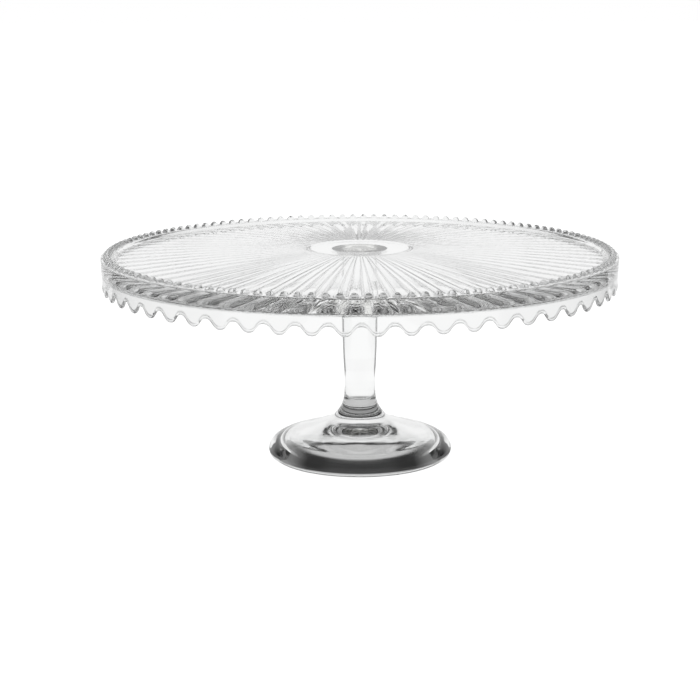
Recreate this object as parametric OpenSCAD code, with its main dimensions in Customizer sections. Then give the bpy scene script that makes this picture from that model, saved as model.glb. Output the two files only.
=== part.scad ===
// Pressed-glass footed cake stand: a crowned plate with a beaded rim, a ribbed
// underside and a scalloped skirt, bonded to a pedestal with a hollow round foot.
// The origin is at the centre of the foot's resting ring, with +Z up.

/* [Plate] */
// Outer diameter of the plate at the top of its rim
plate_d = 320; // [300:1:340]
// Height of the plate's flat centre above the table
stand_h = 132.8; // [120:0.1:150]
// Rise of the plate's flat centre above its edge
crown_h = 4.8; // [2:0.1:6]
// Diameter of the flat centre of the plate
seat_d = 60; // [50:1:80]
// Thickness of the plate between its ribs
plate_t = 5.2; // [4.6:0.1:6.5]

/* [Rim] */
// Height of the rim's ledge above the edge of the plate
ledge_h = 2; // [0.8:0.1:2.3]
// Radial width of the rim, from the foot of its slope to its outer wall
rim_w = 9.5; // [8.5:0.1:11]
// Number of beads on the ledge
bead_count = 130; // [110:1:140]
// Diameter of one bead
bead_d = 5; // [4:0.1:5.6]

/* [Ribs] */
// Number of ribs under the plate
rib_count = 65; // [50:1:70]
// Width of a rib where it meets the skirt
rib_w = 5.8; // [5:0.1:9]
// Depth of a rib where it meets the skirt
rib_h = 2; // [1:0.1:2.5]

/* [Skirt] */
// Drop of the skirt's scallops below the rim's ledge
skirt_drop = 21; // [19:0.1:26]
// Thickness of the skirt's wall
skirt_t = 3; // [2.6:0.1:5]
// Number of scallops along the skirt's edge
scallop_count = 56; // [44:1:64]
// Height of a scallop from the top of its notch to its tip
scallop_h = 5.4; // [3:0.1:6.5]
// Draft of the skirt's outer wall from its top to its tips
skirt_draft = 0.7; // [0.3:0.1:1]

/* [Joint] */
// Diameter of the bonded faces under the plate's centre
bond_d = 35; // [30:0.5:40]
// Thickness of the adhesive film
bond_t = 0.15; // [0.1:0.05:0.3]
// Diameter of the round pad under the plate
pad_d = 66.8; // [62:0.1:70]
// Drop of the pad below the plate's underside
pad_drop = 1.4; // [1:0.1:2]

/* [Stem] */
// Diameter of the stem at its narrowest place
stem_d = 19.4; // [16:0.1:24]
// Height of the stem's narrowest place
waist_z = 46; // [42:0.5:50]

/* [Foot] */
// Outer diameter of the foot
foot_d = 116.4; // [110:0.1:130]
// Height of the foot where its dome meets the stem's flare
foot_h = 23.4; // [20:0.1:26]
// Height of the foot's thick rounded edge
foot_edge_h = 9.2; // [7:0.1:11]
// Diameter of the hollow at the table
hollow_d = 99.2; // [90:0.1:102]
// Height of the hollow at its centre
hollow_h = 14.6; // [11:0.1:16]

/* [Hidden] */

glass_tint = [0.93, 0.95, 0.95, 0.45];
film_tint = [0.96, 0.95, 0.88, 0.5];

// Plate
plate_r = plate_d / 2;
seat_r = seat_d / 2;
edge_r = plate_r - rim_w - 0.5;            // where the plate's top meets the rim's slope
edge_z = stand_h - crown_h;
ledge_z = edge_z + ledge_h;
ledge_r = edge_r + 2.6;                    // inner edge of the flat ledge
round_r = 0.6;                             // rounding of the rim's outer corner
bead_circle_r = plate_r - 4;
skirt_z = ledge_z - skirt_drop;
skirt_r = plate_r - skirt_draft;           // outer radius at the tips
inner_r = plate_r - skirt_t;               // inner radius of the skirt at the ribs
lip_t = 2.4;                               // thickness of the skirt at its tips
under_z = edge_z - plate_t;                // underside between the ribs, at the skirt
pad_r = pad_d / 2;
pad_z = stand_h - plate_t - pad_drop;
pad_bevel = 2.9;
pad_top_z = stand_h - plate_t - 0.05;      // underside between the ribs, at the pad
scoop_run = 6;                             // radial length of the slope that ends each hollow
wall_gap = 0.3;                            // how far below the ribs the skirt's inner wall starts
crown_steps = 12;

// The crown is one circular arc that leaves the flat centre level
crown_run = edge_r - seat_r;
crown_r = (pow(crown_run, 2) + pow(crown_h, 2)) / (2 * crown_h);
function crown_z(r) = stand_h - crown_r + sqrt(pow(crown_r, 2) - pow(r - seat_r, 2));

// A rib is a narrow sector, so its width grows in proportion to its radius, and so
// does its depth
rib_angle = 2 * asin(rib_w / 2 / inner_r);
rib_from = pad_r - 2;
rib_to = inner_r + skirt_t / 2;
rib_root = 1.5;                            // how far a rib reaches up into the plate
under_slope = (pad_top_z - under_z) / (inner_r - pad_r);
function under_at(r) = pad_top_z - (r - pad_r) * under_slope;

// The skirt's edge is a wave with round tips a little wider than its notches
scallop_pitch = 2 * PI * plate_r / scallop_count;
notch_half = 0.47 * scallop_pitch;
notch_steps = 10;
notch_shape = 1.1;
function notch_z(t) = scallop_h * pow(pow(cos(90 * t), 2), notch_shape);
notch_side = [for (i = [-notch_steps:notch_steps])
    [notch_half * i / notch_steps, notch_z(i / notch_steps)]];

// Pedestal
bond_r = bond_d / 2;
stem_r = stem_d / 2;
stem_top_z = pad_z - bond_t;
foot_r = foot_d / 2;
hollow_r = hollow_d / 2;
ring_r = foot_r - 2.4;                     // outer edge of the flat resting ring
wall_h = 5.2;                              // height of the hollow's steep side wall
wall_in = 1.3;                             // draft of that wall
profile_steps = 10;
hollow_shape = 1.7;

// Radius of the stem above its waist: it swells slowly, then flares to the bond
swell = 1.35;                              // extra radius where the top flare starts
flare_z = 118;                             // height where the top flare starts
function ease(t) = t * t * (3 - 2 * t);
function stem_above(z) = stem_r + swell * ease(min(1, (z - waist_z) / (flare_z - waist_z - 10)))
    + (bond_r - stem_r - swell) * pow(max(0, (z - flare_z) / (stem_top_z - flare_z)), 2.2);

// Height of the foot's upper surface: a steep flare from the stem that runs out
// into a low dome, and then the rounded edge
flare_r = 17;
function dome_z(r) = foot_h - (foot_h - foot_edge_h) * pow((r - flare_r) / (foot_r - 2.2 - flare_r), 0.93);
function hollow_z(r) = wall_h + (hollow_h - wall_h) * (1 - pow(r / (hollow_r - wall_in), hollow_shape));

module ring_copies(count) {
    for (i = [0:count - 1])
        rotate([0, 0, i * 360 / count]) children();
}

// Half section of the plate and its skirt before the ribs, beads and scallops
module plate_section() {
    top = [for (i = [0:crown_steps])
        let (r = seat_r + crown_run * i / crown_steps) [r, crown_z(r)]];
    corner = [for (a = [90:-15:0])
        [plate_r - round_r + round_r * cos(a), ledge_z - round_r + round_r * sin(a)]];
    polygon(concat(
        [[0, pad_z], [0, stand_h]],
        top,
        [[ledge_r, ledge_z]],
        corner,
        [[skirt_r, skirt_z + 0.8], [skirt_r - 0.6, skirt_z],
         [skirt_r - lip_t + 0.6, skirt_z], [skirt_r - lip_t, skirt_z + 0.8],
         [inner_r, under_z - rib_h - wall_gap], [inner_r - scoop_run, under_at(inner_r - scoop_run)],
         [pad_r, pad_top_z], [pad_r - pad_bevel, pad_z]]
    ));
}

module beads() {
    ring_copies(bead_count)
        translate([bead_circle_r, 0, ledge_z])
            sphere(d = bead_d, $fn = 32);
}

// Half section of one rib, from its root inside the plate to its lower face
module rib_section() {
    polygon([
        [rib_from, under_at(rib_from) + rib_root],
        [rib_to, under_at(rib_to) + rib_root],
        [rib_to, under_at(rib_to) - rib_h * rib_to / inner_r],
        [rib_from, under_at(rib_from) - rib_h * rib_from / inner_r]
    ]);
}

module ribs() {
    ring_copies(rib_count)
        rotate([0, 0, -rib_angle / 2])
            rotate_extrude(angle = rib_angle, $fn = 360) rib_section();
}

module scallop_notches() {
    below = 2;
    ring_copies(scallop_count)
        translate([inner_r - 4, 0, skirt_z])
            rotate([90, 0, 90])
                linear_extrude(height = skirt_t + 8)
                    polygon(concat([[-notch_half, -below]], notch_side, [[notch_half, -below]]));
}

// Crowned plate with its beaded rim, ribs and scalloped skirt, pressed in one piece
module plate() {
    color(glass_tint)
        difference() {
            union() {
                rotate_extrude($fn = 360) plate_section();
                ribs();
                beads();
            }
            scallop_notches();
        }
}

// Clear adhesive between the plate's pad and the top of the stem
module bond_film() {
    color(film_tint)
        translate([0, 0, stem_top_z])
            cylinder(h = bond_t, r = bond_r, $fn = 128);
}

// Half section of the stem and foot
module pedestal_section() {
    stem = [for (i = [0:3 * profile_steps])
        let (z = stem_top_z - (stem_top_z - waist_z) * i / (3 * profile_steps)) [stem_above(z), z]];
    flare = [for (i = [1:profile_steps])
        let (a = 90 * i / profile_steps)
            [flare_r - (flare_r - stem_r) * pow(cos(a), 0.62),
             waist_z - (waist_z - foot_h) * pow(sin(a), 0.9)]];
    dome = [for (i = [1:profile_steps])
        let (r = flare_r + (foot_r - 2.2 - flare_r) * i / profile_steps) [r, dome_z(r)]];
    edge = [[foot_r - 0.6, foot_edge_h - 2.4], [foot_r, foot_edge_h - 5.4],
            [foot_r - 0.6, 1.1], [ring_r, 0]];
    hollow = [for (i = [0:profile_steps])
        let (r = (hollow_r - wall_in) * (1 - i / profile_steps)) [r, hollow_z(r)]];
    polygon(concat([[0, stem_top_z]], stem, flare, dome, edge, [[hollow_r, 0]], hollow));
}

// Solid stem and hollow foot, pressed in one piece
module pedestal() {
    color(glass_tint)
        rotate_extrude($fn = 180) pedestal_section();
}

plate();
bond_film();
pedestal();
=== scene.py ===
"""Looks for a footed cake stand in clear pressed glass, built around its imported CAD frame.

Three pieces replace the CAD nodes, each as a finer closed mesh of the same shape:
the plate (crowned top, beaded rim, ribbed underside, scalloped skirt), the adhesive
film under it, and the pedestal (solid stem, hollow foot). Lengths are in metres.
"""
import math

import bpy
import numpy as np
from mathutils import Matrix, Vector


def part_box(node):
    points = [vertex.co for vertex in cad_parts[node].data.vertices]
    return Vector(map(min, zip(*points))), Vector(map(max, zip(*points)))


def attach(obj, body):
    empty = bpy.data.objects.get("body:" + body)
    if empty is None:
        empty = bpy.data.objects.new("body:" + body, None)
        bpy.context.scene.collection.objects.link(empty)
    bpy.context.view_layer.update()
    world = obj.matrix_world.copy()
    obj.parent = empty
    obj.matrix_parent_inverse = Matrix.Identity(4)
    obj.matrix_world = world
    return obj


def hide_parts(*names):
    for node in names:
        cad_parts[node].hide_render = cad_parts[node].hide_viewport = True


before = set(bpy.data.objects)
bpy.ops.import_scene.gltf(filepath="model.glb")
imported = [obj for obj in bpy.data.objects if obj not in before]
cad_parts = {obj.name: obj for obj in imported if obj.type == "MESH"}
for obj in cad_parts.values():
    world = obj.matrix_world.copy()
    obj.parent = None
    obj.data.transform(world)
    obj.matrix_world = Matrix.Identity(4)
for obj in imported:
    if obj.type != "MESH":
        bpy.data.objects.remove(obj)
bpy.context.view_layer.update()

MM = 0.001
TAU = 2 * math.pi

# ---------------------------------------------------------------- driving sizes
plate_low, plate_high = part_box("plate")
film_low, film_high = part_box("bond_film")

PLATE_R = 160 * MM
SEAT_Z = plate_high.z                    # the flat centre of the plate
SKIRT_Z = plate_low.z                    # the tips of the scallops
PAD_Z = film_high.z                      # the pad under the plate
STEM_TOP_Z = film_low.z
BOND_R = 17.5 * MM

BEADS = 130
RIBS = 65
SCALLOPS = 56

SEAT_R = 30 * MM                         # flat centre of the plate
EDGE_R = PLATE_R - 10 * MM               # foot of the rim's inner slope
CROWN_H = 4.8 * MM
EDGE_Z = SEAT_Z - CROWN_H
LEDGE_Z = EDGE_Z + 2.0 * MM              # flat that the beads stand on
BEAD_CIRCLE_R = PLATE_R - 4 * MM
BEAD_R = 2.5 * MM
BAND_R = BEAD_CIRCLE_R - 3.0 * MM        # inner edge of the ledge
ROUND_R = 0.6 * MM                       # rim's outer corner

PLATE_T = 5.2 * MM                       # plate between its ribs
INNER_R = PLATE_R - 3.0 * MM             # skirt's inner wall where the ribs end
SKIRT_R = PLATE_R - 0.7 * MM             # skirt's outer radius at the tips
LIP_R = 1.1 * MM                         # round bead that ends the skirt
NECK_R = SKIRT_R - 1.65 * MM             # skirt's inner wall just above that bead
UNDER_Z = EDGE_Z - PLATE_T
PAD_R = 33.4 * MM
PAD_BEVEL = 2.9 * MM
PAD_EDGE_Z = SEAT_Z - PLATE_T - 0.05 * MM
RIB_H = 2.0 * MM                         # rib depth at the skirt
FLUTE_HALF = 0.31                        # half width of the hollow between ribs, in pitches
FLUTE_SIDE = 0.14                        # width of its curved side, in pitches
SCOOP_RUN = 14 * MM                      # radial length of the slope that ends each hollow
SCOOP_GAP = 1.5 * MM                     # level stretch between that slope and the skirt
SCOOP_BOW = 1 * MM                       # how far the slope's start curves in at its sides
FILLET_R = 1.4 * MM                      # corner between the ribs and the skirt
CORNER_Z = UNDER_Z - RIB_H - 1.8 * MM    # top of the skirt's inner wall
SCALLOP_H = 5.4 * MM
SCALLOP_SHAPE = 1.1                      # broadens the tips and the notches
HOLLOW_H = 14.6 * MM                     # height of the foot's hollow at its centre

OVERLAP = 0.02 * MM                      # bonded faces sink this far into each other


# ---------------------------------------------------------------- mesh helpers
def even(count):
    """Angles of `count` evenly spaced columns."""
    return np.arange(count) * TAU / count


def repeated(offsets, copies):
    """Angles of the same few columns in each of `copies` equal sectors."""
    steps = np.arange(copies)[:, None] + np.asarray(offsets)[None, :]
    return (steps * TAU / copies).ravel()


class Rings:
    """A closed surface of rings around Z. Each ring may have its own column angles."""

    def __init__(self):
        self.points = []
        self.faces = []
        self.ring = None                 # (angles, first index) of the last ring

    def pole(self, z):
        self.points.append(np.array([[0.0, 0.0, z]]))
        index = self.count() - 1
        if self.ring is None:
            self.ring = (None, index)
            return
        angles, first = self.ring
        n = len(angles)
        self.faces += [(first + i, index, first + (i + 1) % n) for i in range(n)]

    def count(self):
        return sum(len(p) for p in self.points)

    def add(self, angles, radius, height):
        """One ring: radius and height are numbers or one value per column."""
        radius = np.broadcast_to(radius, angles.shape)
        height = np.broadcast_to(height, angles.shape)
        first = self.count()
        self.points.append(np.stack(
            [radius * np.cos(angles), radius * np.sin(angles), height], 1))
        old_angles, old = self.ring
        n = len(angles)
        if old_angles is None:
            self.faces += [(old, first + i, first + (i + 1) % n) for i in range(n)]
        elif len(old_angles) == n:
            self.faces += [(old + i, first + i, first + (i + 1) % n, old + (i + 1) % n)
                           for i in range(n)]
        else:
            self.zip(old_angles, old, angles, first)
        self.ring = (angles, first)

    def zip(self, a, first_a, b, first_b):
        """Triangles between two rings with different columns."""
        i = j = 0
        while i < len(a) or j < len(b):
            next_a = a[(i + 1) % len(a)] + TAU * ((i + 1) // len(a))
            next_b = b[(j + 1) % len(b)] + TAU * ((j + 1) // len(b))
            here_a, here_b = first_a + i % len(a), first_b + j % len(b)
            if j >= len(b) or (i < len(a) and next_a <= next_b):
                self.faces.append((here_a, here_b, first_a + (i + 1) % len(a)))
                i += 1
            else:
                self.faces.append((here_a, here_b, first_b + (j + 1) % len(b)))
                j += 1

    def build(self, name):
        mesh = bpy.data.meshes.new(name)
        mesh.from_pydata(np.concatenate(self.points).tolist(), [], self.faces)
        mesh.validate()
        mesh.shade_smooth()
        piece = bpy.data.objects.new(name, mesh)
        bpy.context.scene.collection.objects.link(piece)
        return piece


def smooth_step(t):
    t = np.clip(t, 0, 1)
    return t * t * (3 - 2 * t)


def arc(centre, radius, start, end, steps):
    """Points (r, z) along an arc, angles in degrees from +r towards +z."""
    turns = np.radians(np.linspace(start, end, steps + 1))
    return [(centre[0] + radius * math.cos(t), centre[1] + radius * math.sin(t)) for t in turns]


# ---------------------------------------------------------------- plate
def crown_z(r):
    """The plate's top: level to SEAT_R, then one circular arc down to the rim."""
    run = EDGE_R - SEAT_R
    radius = (run ** 2 + CROWN_H ** 2) / (2 * CROWN_H)
    return SEAT_Z - radius + math.sqrt(radius ** 2 - max(0, r - SEAT_R) ** 2)


def add_bead_band(rings):
    """The ledge, with a round bead pushed up at each bead's place."""
    columns = even(BEADS * 14)
    bead_angles = np.round(columns / (TAU / BEADS)) * TAU / BEADS
    for r in np.linspace(BAND_R, PLATE_R - ROUND_R, 16):
        along = BEAD_CIRCLE_R * (columns - bead_angles)
        across = np.full_like(columns, r - BEAD_CIRCLE_R)
        d = np.hypot(along, across)
        turn = np.clip(d / BEAD_R, 0, 1) * math.pi / 2
        pull = np.where(d < BEAD_R, BEAD_R * np.sin(turn) / np.maximum(d, 1e-9), 1)
        rise = np.where(d < BEAD_R, BEAD_R * np.cos(turn), 0)
        rings.add(bead_angles + along * pull / BEAD_CIRCLE_R,
                  BEAD_CIRCLE_R + across * pull, LEDGE_Z + rise)


def scallop_edge(columns):
    """Height of the skirt's edge above the tips."""
    wave = np.tanh(SCALLOP_SHAPE * np.cos(columns * SCALLOPS)) / math.tanh(SCALLOP_SHAPE)
    return SCALLOP_H * (0.5 + 0.5 * wave)


def outer_wall(z):
    """Radius of the skirt's outer wall."""
    return PLATE_R + (SKIRT_R - PLATE_R) * (LEDGE_Z - z) / (LEDGE_Z - SKIRT_Z)


def inner_wall(z):
    """Radius of the skirt's inner wall."""
    return INNER_R + (NECK_R - INNER_R) * (UNDER_Z - z) / (UNDER_Z - SKIRT_Z)


def add_skirt(rings):
    """Outer wall, the round bead along its scalloped edge, and inner wall."""
    columns = even(SCALLOPS * 20)
    lip_top = SKIRT_Z + scallop_edge(columns) + LIP_R
    wall_top = LEDGE_Z - ROUND_R
    for t in (0.03, 0.5, 0.96, 1.0):
        z = wall_top + (lip_top - wall_top) * t
        rings.add(columns, outer_wall(z), z)
    lip_centre = outer_wall(lip_top) - LIP_R
    for turn in np.radians([22, 45, 67, 90, 112, 135, 158, 180, 200, 220, 238]):
        rings.add(columns, lip_centre + LIP_R * math.cos(turn), lip_top - LIP_R * math.sin(turn))
    wall_low = lip_top + 1.15 * LIP_R
    for t in (0, 0.04, 0.5, 0.97, 1.0):
        z = wall_low + (CORNER_Z - wall_low) * t
        rings.add(columns, inner_wall(z), z)


def rib_drop(columns, r):
    """How far the underside hangs below the level between ribs at radius r. The hollow
    between two ribs ends in a soft slope just inside the skirt."""
    across = np.abs((columns * RIBS / TAU) % 1 - 0.5)
    side = smooth_step((FLUTE_HALF + FLUTE_SIDE / 2 - across) / FLUTE_SIDE)
    scoop = INNER_R - SCOOP_GAP - r - SCOOP_BOW * (across / FLUTE_HALF) ** 2
    return RIB_H * r / INNER_R * (1 - side * smooth_step(scoop / SCOOP_RUN))


def under_z(r):
    """The level between the ribs."""
    slope = (PAD_EDGE_Z - UNDER_Z) / (INNER_R - PAD_R)
    return PAD_EDGE_Z - (r - PAD_R) * slope


def add_underside(rings):
    """Round corner inside the skirt, ribs, and the pad in the middle. The columns crowd
    at each rib's sides, and the rings where the surface bends."""
    rib = [0, 0.08, 0.12, 0.14, 0.165, 0.19, 0.215, 0.24, 0.26, 0.38]
    columns = repeated(rib + [0.5] + [1 - x for x in rib[:0:-1]], RIBS)
    corner_r = INNER_R - FILLET_R
    centre = (corner_r, under_z(corner_r) - RIB_H - FILLET_R)
    for r, z in arc(centre, FILLET_R, 0, 90, 5):
        rings.add(columns, r, z)
    scoops = np.linspace(corner_r, INNER_R - 12 * MM, 9)[1:]
    along = np.linspace(INNER_R - 12 * MM, PAD_R + 3 * MM, 6)[1:]
    close = PAD_R + np.array([1.5, 0.7, 0.2, 0]) * MM
    for r in np.concatenate([scoops, along, close]):
        fade = smooth_step((r - PAD_R) / (2 * MM))
        rings.add(columns, r, under_z(r) - rib_drop(columns, r) * fade)
    columns = even(260)
    for t in (0.25, 0.5, 0.75, 1.0):
        z = PAD_EDGE_Z + (PAD_Z - PAD_EDGE_Z) * smooth_step(t)
        rings.add(columns, PAD_R - PAD_BEVEL * t, z)
    rings.add(columns, PAD_R - PAD_BEVEL - 0.4 * MM, PAD_Z)


def make_plate():
    rings = Rings()
    rings.pole(SEAT_Z)
    for r, count in ((2, 32), (6, 64), (14, 130), (24, 130)):
        rings.add(even(count), r * MM, SEAT_Z)
    columns = even(260)
    for r in [*np.linspace(SEAT_R, EDGE_R - 3 * MM, 15), EDGE_R - 0.4 * MM, EDGE_R]:
        rings.add(columns, r, crown_z(r))
    columns = even(BEADS * 14)
    for t in (0.2, 0.4, 0.6, 0.8):
        rings.add(columns, EDGE_R + (BAND_R - EDGE_R) * t,
                  EDGE_Z + (LEDGE_Z - EDGE_Z) * smooth_step(t))
    add_bead_band(rings)
    columns = even(520)
    for r, z in arc((PLATE_R - ROUND_R, LEDGE_Z - ROUND_R), ROUND_R, 75, 0, 5):
        rings.add(columns, r, z)
    add_skirt(rings)
    add_underside(rings)
    for r, count in ((24, 130), (17, 130), (8, 64), (3, 32)):
        rings.add(even(count), r * MM, PAD_Z)
    rings.pole(PAD_Z)
    return rings.build("glass_plate")


# ---------------------------------------------------------------- film and pedestal
def lathe(name, profile, count):
    """A closed turned piece from (r, z) points that start and end on the axis."""
    rings = Rings()
    rings.pole(profile[0][1])
    columns = even(count)
    for r, z in profile[1:-1]:
        rings.add(columns, r, z)
    rings.pole(profile[-1][1])
    return rings.build(name)


def make_film():
    top, bottom = PAD_Z + OVERLAP, STEM_TOP_Z - OVERLAP
    r = BOND_R - 0.3 * MM
    profile = [(0, top), (r * 0.5, top), (r, top), (r + 0.05 * MM, (top + bottom) / 2),
               (r, bottom), (r * 0.5, bottom), (0, bottom)]
    return lathe("adhesive_film", profile, 128)


def spline(points, steps):
    """A smooth curve through a few (r, z) points, by centripetal Catmull-Rom."""
    p = [np.array(x, float) for x in points]
    p = [2 * p[0] - p[1]] + p + [2 * p[-1] - p[-2]]
    out = []
    for a, b, c, d in zip(p, p[1:], p[2:], p[3:]):
        t1 = np.linalg.norm(b - a) ** 0.5
        t2 = t1 + np.linalg.norm(c - b) ** 0.5
        t3 = t2 + np.linalg.norm(d - c) ** 0.5
        for t in np.linspace(t1, t2, steps, endpoint=False):
            ab = a + (b - a) * t / t1
            bc = b + (c - b) * (t - t1) / (t2 - t1)
            cd = c + (d - c) * (t - t2) / (t3 - t2)
            abc = ab + (bc - ab) * t / t2
            bcd = bc + (cd - bc) * (t - t1) / (t3 - t1)
            out.append(tuple(abc + (bcd - abc) * (t - t1) / (t2 - t1)))
    out.append(tuple(p[-2]))
    return out


def make_pedestal():
    """Outline points in mm, as (radius, height), from the bond down the stem and over
    the foot, and then from the resting ring up the foot's hollow."""
    stem = [(17.5, 126.05), (16.3, 125.3), (14.4, 124.0), (12.8, 122.3), (11.7, 120),
            (11.2, 116), (11.15, 108), (11.1, 98), (11.05, 86), (10.9, 74), (10.4, 61),
            (9.75, 50), (9.75, 42), (10.4, 35.4), (12.4, 30.2), (17, 24.6)]
    foot = [(22, 21.6), (30, 18.5), (38, 15.6), (46, 13.0), (52, 11.0), (55.6, 8.9),
            (57.6, 6.2), (58.2, 3.6), (57.4, 1.2), (55.8, 0.0)]
    hollow = [(49.6, 0.0), (49.3, 3.0), (48.4, 5.2), (46.5, 6.6), (40, 8.2), (32, 10.2),
              (22, 12.6), (12, 14.2), (0, 14.6)]
    outer = spline([(r * MM, z * MM) for r, z in stem + foot], 5)
    inner = spline([(r * MM, z * MM) for r, z in hollow], 5)
    inner = [(r, z) for r, z in inner if r > 0] + [(0, HOLLOW_H)]
    profile = [(0, STEM_TOP_Z), (0.5 * BOND_R, STEM_TOP_Z)] + outer + inner
    return lathe("glass_pedestal", profile, 240)


# ---------------------------------------------------------------- materials
PRESSED_TINT = (0.985, 0.99, 0.988)
PRESSED_IOR = 1.5
FILM_TINT = (0.98, 0.98, 0.95)
FILM_IOR = 1.49


def glass(name, tint, ior, roughness, waviness, scale):
    """Clear glass whose surface is wavy by `waviness` metres, `scale` waves to a metre."""
    material = bpy.data.materials.new(name)
    material.use_nodes = True
    nodes, links = material.node_tree.nodes, material.node_tree.links
    shader = nodes["Principled BSDF"]
    shader.inputs["Base Color"].default_value = (*tint, 1)
    shader.inputs["Roughness"].default_value = roughness
    shader.inputs["IOR"].default_value = ior
    shader.inputs["Transmission Weight"].default_value = 1.0
    place = nodes.new("ShaderNodeTexCoord")
    noise = nodes.new("ShaderNodeTexNoise")
    noise.inputs["Scale"].default_value = scale
    noise.inputs["Detail"].default_value = 2.0
    bump = nodes.new("ShaderNodeBump")
    bump.inputs["Strength"].default_value = 1.0
    bump.inputs["Distance"].default_value = waviness
    links.new(place.outputs["Object"], noise.inputs["Vector"])
    links.new(noise.outputs["Fac"], bump.inputs["Height"])
    links.new(bump.outputs["Normal"], shader.inputs["Normal"])
    return material


# ---------------------------------------------------------------- pieces
plate = make_plate()
plate_glass = glass("pressed_glass_plate", PRESSED_TINT, PRESSED_IOR, 0.015, 0.06 * MM, 30)
plate.data.materials.append(plate_glass)
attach(plate, "root")
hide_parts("plate")

film = make_film()
film.data.materials.append(glass("clear_adhesive", FILM_TINT, FILM_IOR, 0.0, 0.01 * MM, 200))
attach(film, "root")
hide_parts("bond_film")

pedestal = make_pedestal()
pedestal_glass = glass("pressed_glass_pedestal", PRESSED_TINT, PRESSED_IOR, 0.0, 0.14 * MM, 40)
pedestal.data.materials.append(pedestal_glass)
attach(pedestal, "root")
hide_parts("pedestal")


# ---------------------------------------------------------------- studio
FLOOR_GLOW = 0.95
HOLLOW_CENTRE = (0, 0.006, 0)            # light gathered under the foot's hollow
HOLLOW_GLOW = 0.55
FOOT_SHADE = 0.05                        # painted shade on the table where the foot's ring stands
FOOT_ENDS = 0.5                          # the same at the foot's left and right ends
STEM_SHADE_CENTRE = (0, 0.06, 0)         # the stem's shade, behind the foot
STEM_SHADE = 0.35
FRONT_CENTRE = (0, -0.08, 0)             # centre of the painted shade in front of the foot
FRONT_SHADE = 0.6
SIDE_SHADE = 0.2                         # the table far to the left and right
TABLE = 0.97
BACKDROP, FRONT_WALL, ROOM, SOFTBOX = 0.92, 0.4, 0.03, 1.0


def shown_to(piece, camera, glass_rays):
    """Which rays see a stage piece: the camera's own, or those that have met the glass."""
    piece.visible_camera = camera
    piece.visible_glossy = glass_rays
    piece.visible_transmission = glass_rays
    piece.visible_diffuse = False
    piece.visible_shadow = False


def stage_plane(name, height):
    """A wide level plane with its own material, kept out of the exported model."""
    bpy.ops.mesh.primitive_plane_add(size=40, location=(0, 0, height))
    plane = bpy.context.active_object
    plane.name = name
    material = bpy.data.materials.new(name + "_material")
    material.use_nodes = True
    plane.data.materials.append(material)
    return plane, material.node_tree


def ramp_node(tree, source, low, high, at_low, at_high):
    """A soft step: at_low where source is under low, at_high where it is over high."""
    ramp = tree.nodes.new("ShaderNodeMapRange")
    ramp.interpolation_type = "SMOOTHSTEP"
    ramp.inputs["From Min"].default_value = low
    ramp.inputs["From Max"].default_value = high
    ramp.inputs["To Min"].default_value = at_low
    ramp.inputs["To Max"].default_value = at_high
    tree.links.new(source, ramp.inputs["Value"])
    return ramp.outputs["Result"]


def math_node(tree, operation, *sources):
    node = tree.nodes.new("ShaderNodeMath")
    node.operation = operation
    for place, source in enumerate(sources):
        tree.links.new(source, node.inputs[place])
    return node.outputs["Value"]


def distance_node(tree, vector, point):
    node = tree.nodes.new("ShaderNodeVectorMath")
    node.operation = "DISTANCE"
    tree.links.new(vector, node.inputs[0])
    node.inputs[1].default_value = point
    return node.outputs["Value"]


def make_floor():
    """The plain pale floor, which only the camera sees."""
    floor, tree = stage_plane("floor", 0)
    shader = tree.nodes["Principled BSDF"]
    shader.inputs["Base Color"].default_value = (0.9, 0.9, 0.9, 1)
    shader.inputs["Roughness"].default_value = 0.9
    shader.inputs["Emission Color"].default_value = (1, 1, 1, 1)
    shader.inputs["Emission Strength"].default_value = FLOOR_GLOW
    shown_to(floor, True, False)


def make_table():
    """The lit table that only the glass sees. It is white, with a ring of painted shade where
    the foot stands, painted light gathered under its hollow, and soft painted shade behind the
    foot, in front of it, and to both sides."""
    table, tree = stage_plane("table_light", -0.5 * MM)
    tree.nodes.remove(tree.nodes["Principled BSDF"])
    glow = tree.nodes.new("ShaderNodeEmission")
    place = tree.nodes.new("ShaderNodeTexCoord").outputs["Object"]
    parts = tree.nodes.new("ShaderNodeSeparateXYZ")
    tree.links.new(place, parts.inputs["Vector"])
    across = math_node(tree, "ABSOLUTE", parts.outputs["X"])
    along = math_node(tree, "ABSOLUTE", parts.outputs["Y"])
    from_axis = distance_node(tree, place, (0, 0, 0))
    from_hollow = distance_node(tree, place, HOLLOW_CENTRE)
    from_stem_shade = distance_node(tree, place, STEM_SHADE_CENTRE)
    from_front = distance_node(tree, place, FRONT_CENTRE)

    ring = ramp_node(tree, from_axis, 0.054, 0.068, FOOT_SHADE, TABLE)
    ends = ramp_node(tree, across, 0.028, 0.05, 0, FOOT_ENDS)
    light = math_node(tree, "MAXIMUM", ring, ends)
    stem_shade = ramp_node(tree, from_stem_shade, 0.022, 0.04, STEM_SHADE, 1)
    light = math_node(tree, "MULTIPLY", light, stem_shade)
    front_shade = ramp_node(tree, from_front, 0.08, 0.16, FRONT_SHADE, 1)
    light = math_node(tree, "MULTIPLY", light, front_shade)
    widening = ramp_node(tree, along, 0.1, 1.1, 0, 1.4)
    aside = math_node(tree, "SUBTRACT", across, widening)
    side_shade = ramp_node(tree, aside, 0.2, 0.28, 1, SIDE_SHADE)
    light = math_node(tree, "MULTIPLY", light, side_shade)
    gathered = ramp_node(tree, from_hollow, 0.028, 0.042, HOLLOW_GLOW, 0)
    light = math_node(tree, "ADD", gathered, light)
    tree.links.new(light, glow.inputs["Color"])
    tree.links.new(glow.outputs["Emission"], tree.nodes["Material Output"].inputs["Surface"])
    shown_to(table, False, True)


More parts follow.
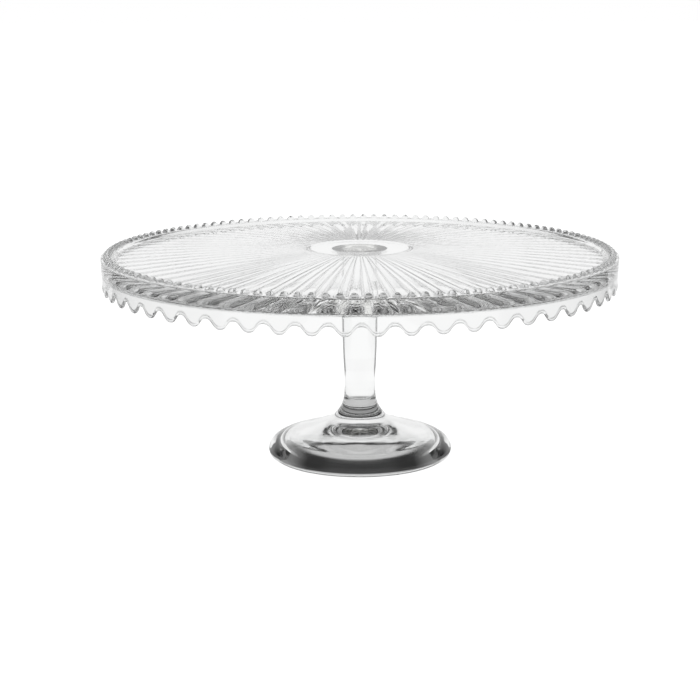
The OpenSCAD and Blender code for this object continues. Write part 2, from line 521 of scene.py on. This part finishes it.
def make_world():
    """White to the camera. The glass sees a white backdrop behind it, a weaker one in
    front, a softbox overhead, and a dark room everywhere else."""
    world = bpy.data.worlds.new("studio")
    bpy.context.scene.world = world
    world.use_nodes = True
    tree = world.node_tree
    place = tree.nodes.new("ShaderNodeTexCoord")
    parts = tree.nodes.new("ShaderNodeSeparateXYZ")
    tree.links.new(place.outputs["Generated"], parts.inputs["Vector"])
    up, back = parts.outputs["Z"], parts.outputs["Y"]
    low = ramp_node(tree, up, 0.36, 0.56, BACKDROP - ROOM, 0)
    behind = ramp_node(tree, back, 0.5, 0.8, 0, 1)
    in_front = ramp_node(tree, back, -0.8, -0.5, FRONT_WALL, 0)
    walls = math_node(tree, "ADD", behind, in_front)
    lit_walls = math_node(tree, "MULTIPLY", low, walls)
    softbox = ramp_node(tree, up, 0.90, 0.96, ROOM, SOFTBOX)
    light = math_node(tree, "ADD", lit_walls, softbox)
    path = tree.nodes.new("ShaderNodeLightPath")
    seen = math_node(tree, "MAXIMUM", light, path.outputs["Is Camera Ray"])
    tree.links.new(seen, tree.nodes["Background"].inputs["Color"])


def make_camera():
    """Set by the photograph's perspective: the line to the bead circle's centre is
    view_distance long and view_elevation above level, and the lens points lower."""
    view_distance = 0.9804
    view_elevation = math.radians(8.86)
    lens_tilt = math.radians(12.54)
    lens_roll = math.radians(-0.21)
    sideways = -0.0062
    target = Vector((0, 0, LEDGE_Z + BEAD_R / 2))
    back = Vector((0, -math.cos(lens_tilt), math.sin(lens_tilt)))
    right = Vector((1, 0, 0))
    up = back.cross(right)
    rolled_right = right * math.cos(lens_roll) + up * math.sin(lens_roll)
    rolled_up = up * math.cos(lens_roll) - right * math.sin(lens_roll)
    away = Vector((0, -math.cos(view_elevation), math.sin(view_elevation)))
    place = target + away * view_distance + rolled_right * sideways
    data = bpy.data.cameras.new("camera")
    data.lens = 80.64
    data.sensor_width = 36
    camera = bpy.data.objects.new("camera", data)
    bpy.context.scene.collection.objects.link(camera)
    turn = Matrix((rolled_right, rolled_up, back)).transposed().to_4x4()
    camera.matrix_world = Matrix.Translation(place) @ turn
    bpy.context.scene.camera = camera


make_floor()
make_table()
make_world()
make_camera()

scene = bpy.context.scene
scene.view_settings.view_transform = "Standard"
scene.cycles.max_bounces = 32
scene.cycles.transmission_bounces = 32
scene.cycles.glossy_bounces = 12
scene.cycles.use_denoising = True
scene.cycles.denoising_input_passes = "RGB"
